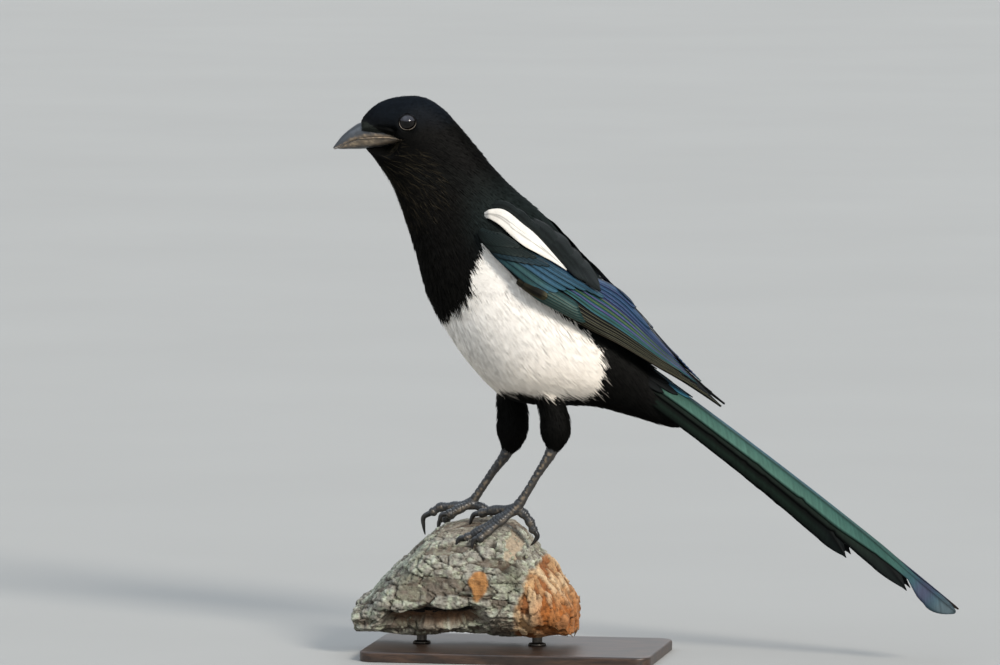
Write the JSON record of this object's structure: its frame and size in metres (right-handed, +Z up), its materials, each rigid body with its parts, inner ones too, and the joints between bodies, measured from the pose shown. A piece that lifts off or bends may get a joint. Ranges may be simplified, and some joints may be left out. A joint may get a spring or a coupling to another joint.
{
  "type": "eurasian magpie, still life-size model on a cut branch and display stand",
  "caption": "Black and white long-tailed songbird standing on a short cut branch, held by two short rods on a flat wooden base.",
  "frame": {"origin": "middle of the flat underside of the stand's base", "axes": "+Z up; -Y the way the bird faces, with its tail towards +Y; +X its left side, which the picture shows"},
  "size_m": [0.096, 0.3635, 0.3249],
  "materials": {
    "plumage_black": "soft black feathers with a faint cold gloss",
    "plumage_white": "soft warm white feathers",
    "wing_blue": "smooth flight feathers, dark with a blue to violet gloss",
    "tail_green": "smooth tail feathers with a green gloss that turns blue and purple near the tips",
    "bill_horn": "dark grey horn, half gloss on the ridge, dull and brownish along the cutting edge",
    "eye": "wet, very dark brown, clear front",
    "leg_scale": "dull blue grey scales with paler brown mottling",
    "claw_horn": "black horn, half gloss",
    "bark": "rough grey bark with pale lichen and broken orange wood at one end",
    "stand_wood": "dark oiled wood",
    "stand_rod": "brushed"
  },
  "bodies": {
    "root": {"head": "plumage_black", "neck": "plumage_black", "trunk": "plumage_white", "bill_upper": "bill_horn", "bill_lower": "bill_horn", "eye_left": "eye", "eye_right": "eye", "tail": "tail_green", "wing_left": "wing_blue", "wing_right": "wing_blue", "thigh_left": "plumage_black", "thigh_right": "plumage_black", "leg_left": "leg_scale", "leg_right": "leg_scale", "claw_left_inner": "claw_horn", "claw_left_middle": "claw_horn", "claw_left_outer": "claw_horn", "claw_left_hind": "claw_horn", "claw_right_inner": "claw_horn", "claw_right_middle": "claw_horn", "claw_right_outer": "claw_horn", "claw_right_hind": "claw_horn", "perch_branch": "bark", "stand_base": "stand_wood", "stand_rod_front": "stand_rod", "stand_rod_back": "stand_rod"}
  },
  "joints": []
}
